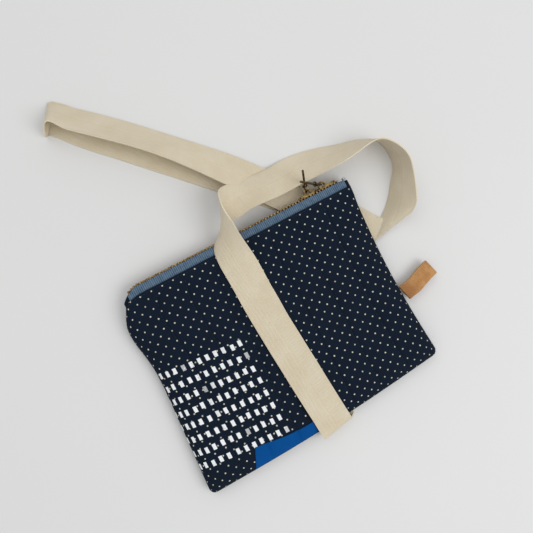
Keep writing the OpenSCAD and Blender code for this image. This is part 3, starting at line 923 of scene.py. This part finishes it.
tooth_brass = metal("antique_brass_teeth", paint(104, 84, 54), paint(192, 160, 106), 0.9)
slider_brass = metal("dark_slider_brass", paint(88, 74, 52), paint(176, 150, 100), 0.5)
dark_pull = metal("dark_pull_metal", paint(78, 66, 50), paint(150, 130, 96), 0.7, (0.3, 0.5), 0.54)
nickel = metal("bright_nickel", paint(176, 180, 186), paint(228, 230, 233), 0.4, (0.18, 0.34))


def tooth_row(side, shift):
    """Bevelled blocks along X; side is 1 over the middle of the chain and -1 under it."""
    one = bmesh.new()
    bmesh.ops.create_cube(one, size=1)
    bmesh.ops.scale(one, vec=(1.3, 1.75, 3.9), verts=one.verts)
    head = [vert for vert in one.verts if vert.co.z * side < 0]
    bmesh.ops.scale(one, vec=(0.8, 0.95, 1), verts=head)
    bmesh.ops.bevel(
        one, geom=one.edges[:], offset=0.25, segments=2, profile=0.5, affect="EDGES", material=-1,
    )
    mesh = bpy.data.meshes.new("one_tooth")
    one.to_mesh(mesh)
    one.free()
    row = bmesh.new()
    for k in range(math.floor((TEETH_LENGTH - shift) / TOOTH_PITCH)):
        before = len(row.verts)
        row.from_mesh(mesh)
        row.verts.ensure_lookup_table()
        x = TEETH_FROM + shift + k * TOOTH_PITCH + 0.55
        place = Vector((x, TOOTH_MIDDLE_Y - zip_droop(x), CHAIN_Z + side * TOOTH_MIDDLE_Z))
        tooth = row.verts[before:]
        bmesh.ops.translate(row, vec=place, verts=tooth)
    bmesh.ops.scale(row, vec=(MM, MM, MM), verts=row.verts)
    bpy.data.meshes.remove(mesh)
    return row


for side, name, shift in ((1, "front", 0.0), (-1, "back", TOOTH_PITCH / 2)):
    row_bm = tooth_row(side, shift)
    teeth = add_piece(f"zip_teeth_{name}_brass", row_bm, tooth_brass, "pouch")
    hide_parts(f"zip_teeth_{name}")
    print(name, "teeth faces:", len(teeth.data.polygons))

# %% [markdown]
# The sliders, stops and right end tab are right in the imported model, but their edges are as
# sharp as a drawing's. A merged copy of each gets a small round on its edges, which catches the
# light. The left tab is made anew, because the zip turns down at that end.

# %% Sliders, stops and tabs
def rounded_copy(node, finish, body, width, drop, lift):
    bm = bmesh.new()
    bm.from_mesh(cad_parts[node].data)
    bmesh.ops.remove_doubles(bm, verts=bm.verts, dist=1e-6)
    bmesh.ops.dissolve_limit(bm, angle_limit=math.radians(1), verts=bm.verts, edges=bm.edges)
    bmesh.ops.translate(bm, vec=(0, -drop * MM, lift * MM), verts=bm.verts)
    lay_out(bm, {vert: (0, 0) for vert in bm.verts})
    piece = add_piece(node + "_finished", bm, finish, body, 35)
    round_edges(piece, width, 2, 35)
    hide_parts(node)


for node, finish, slot, body, width, drop, lift in (
    ("slider_a", slider_brass, "slider_brass", "slider_a", 0.22, 0, 0),
    ("slider_b", slider_brass, "slider_brass", "slider_b", 0.22, 0, 0),
    ("zip_stop_left", tooth_brass, "zip_brass", "pouch", 0.2, zip_droop(-82), 1.2),
    ("zip_stop_right", nickel, "bright_metal", "pouch", 0.2, 0, 1.2),
    ("zip_tab_right", back_cotton, "cotton_print", "pouch", 0.7, 0, 0),
):
    rounded_copy(node, finish, body, width, drop, lift)


def left_tab(side):
    """The folded cotton over the closed end of the zip; side is 1 for its top."""
    def place(u, v):
        x = mix(-89.2, -83.6, u)
        high = 79.2 - zip_droop(x)
        puff = quarter_round((x + 89.2), 2.6) * quarter_round((1 - v) * 12, 2.6)
        return x, mix(66.0, high, v), CHAIN_Z + side * (0.25 + 3.3 * puff)
    return place


tab_bm = pad_mesh(24, 40, left_tab(1), left_tab(-1))
tab = add_piece("zip_tab_left_cloth", tab_bm, back_cotton, "pouch")
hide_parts("zip_tab_left")
for node in ("pull_a_ring", "pull_a_rod", "pull_b_ring", "pull_b_rod"):
    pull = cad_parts[node]
    pull.data.materials.clear()
    pull.data.materials.append(dark_pull.material)
print("metal parts finished")

# %% [markdown]
# The tag is one strip of vegetable-tanned leather, folded and caught in the side seam. A sheet
# follows the strip from the seam, round the fold and back, and gets the leather's thickness. It
# swells sideways near the seam, where the fold pushes the plies apart. Leather has pores, soft
# clouds, small wrinkles and cut edges that are paler than its face, and painted shade darkens
# it towards the seam.

# %% Leather tag
TAG_ROOT = Vector((94.8, -16.7, 5.5))
TAG_TURN = math.radians(16)
TAG_WIDTH, TAG_LENGTH, LEATHER_THICK = 12.3, 29.0, 1.3
FOLD_R = 1.45
TAG_STRAIGHT = TAG_LENGTH - FOLD_R - LEATHER_THICK / 2
TAG_RUN = 2 * TAG_STRAIGHT + math.pi * FOLD_R


def tag_flat(u, v):
    return Vector(((u - 0.5) * TAG_WIDTH, abs(v - 0.5) * TAG_RUN)) * MM


def tag_place(u, v):
    run = v * TAG_RUN
    if abs(run - TAG_RUN / 2) < math.pi * FOLD_R / 2:
        a = (run - TAG_RUN / 2) / FOLD_R
        t, rise = TAG_STRAIGHT + FOLD_R * math.cos(a), FOLD_R * math.sin(a)
    else:
        t = min(run, TAG_RUN - run)
        rise = math.copysign(mix(0.68, FOLD_R, limit((t - 3) / 12, 0, 1)), run - TAG_RUN / 2)
    aside = (u - 0.5) * TAG_WIDTH - 0.9 * math.exp(-(((t - 10) / 6) ** 2))
    rise += 0.12 * noise.noise(Vector((t / 4, aside / 5, 0.4))) + 0.25 * math.sin(t / 5)
    c, k = math.cos(TAG_TURN), math.sin(TAG_TURN)
    return TAG_ROOT + Vector((t * c - aside * k, t * k + aside * c, rise))


leather = Finish("tan_leather", Coat_Weight=0.1, Coat_Roughness=0.35)
hide_place = leather.object_mm()
hide_u, hide_v, _ = leather.xyz(leather.cloth_mm())
pores = leather.node("ShaderNodeTexVoronoi", {"feature": "DISTANCE_TO_EDGE"}, Vector=hide_place, Scale=1.3)
cloud = leather.speckle(hide_place, 0.16, 4.0)
grain = leather.speckle(hide_place, 1.6, 5.0, 0.7)
# Painted shade: this mask makes both plies darker over the last 15 mm or so before the seam.
seam_shade = hide_v.above(TAG_RUN / 2 - 7, 16)
hide_drawn_out = leather.node(
    "ShaderNodeVectorMath", {"operation": "MULTIPLY"}, leather.cloth_mm(), (0.25, 1.4, 1.0),
)
wrinkle = leather.speckle(hide_drawn_out, 0.8, 3.0)
tan = leather.blend(cloud.above(0.5, 0.5), paint(176, 122, 66), paint(204, 152, 94))
tan = leather.blend(wrinkle.above(0.58, 0.2) * 0.4, tan, paint(150, 98, 50))
tan = leather.blend(pores.below(0.05, 0.08) * 0.35, tan, paint(118, 74, 38))
tan = leather.blend(grain.above(0.6, 0.15) * 0.3, tan, paint(218, 172, 118))
# Painted shade near the seam, in a dark brown.
tan = leather.blend(seam_shade * 0.55, tan, paint(128, 78, 40))
tan = leather.blend(abs(hide_u).above(TAG_WIDTH / 2 - 0.35, 0.3) * 0.5, tan, paint(214, 176, 128))
leather.feed("Base Color", tan)
leather.feed("Roughness", grain * 0.2 + 0.42)
leather.bump(pores.below(0.08, 0.16) * -0.5 + grain * 0.5 + wrinkle * 0.8, 0.00025, 0.8)
tag_bm = sheet_mesh(20, 120, tag_place, tag_flat)
tag = add_piece("leather_tag_strip", tag_bm, leather, "pouch")
wall(tag, LEATHER_THICK, 0.0)
round_edges(tag, 0.3)
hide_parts("leather_tag")
print("tag strip", round(TAG_RUN), "mm long")

# %% [markdown]
# Small dark stitches show in two places: along the folded edge over the zip tape, and in the
# quilting rows. They are thread in the colour of the cloth, so they read as texture.

# %% Quilting stitches
navy_thread = Finish("navy_thread", Roughness=0.65)
navy_ply = navy_thread.speckle(navy_thread.object_mm(), 3.0, 2.0)
navy_thread.feed("Base Color", navy_thread.blend(navy_ply, paint(20, 30, 48), paint(44, 58, 80)))
navy_thread.bump(navy_ply, 0.00005, 0.5)


def surface_point(surface, u, v, lift):
    x, y, z = surface(u, v)
    return x, y, z + lift


EDGE_STEPS = 75
QUILT_STEPS = 48
edge_bm = bmesh.new()
edge_line = [
    surface_point(front_surface, 0.02 + 0.96 * k / EDGE_STEPS, 0.988, 0.05)
    for k in range(EDGE_STEPS + 1)
]
stitch_line(edge_bm, edge_line, 2.5, 0.17)
add_piece("zip_edge_stitches", edge_bm, navy_thread, "pouch", 180)
for name, surface, lift in (("front", front_surface, 0.02), ("back", back_surface, -0.02)):
    quilt_bm = bmesh.new()
    for k in range(-ROWS_PER_SIDE, ROWS_PER_SIDE + 1):
        u = 0.5 + k * CHANNEL / FLAT_WIDTH
        line = [
            surface_point(surface, u, 0.06 + 0.9 * j / QUILT_STEPS, lift)
            for j in range(QUILT_STEPS + 1)
        ]
        stitch_line(quilt_bm, line, 2.8, 0.15)
    add_piece(f"quilting_stitches_{name}", quilt_bm, navy_thread, "pouch", 180)
print("stitches made")
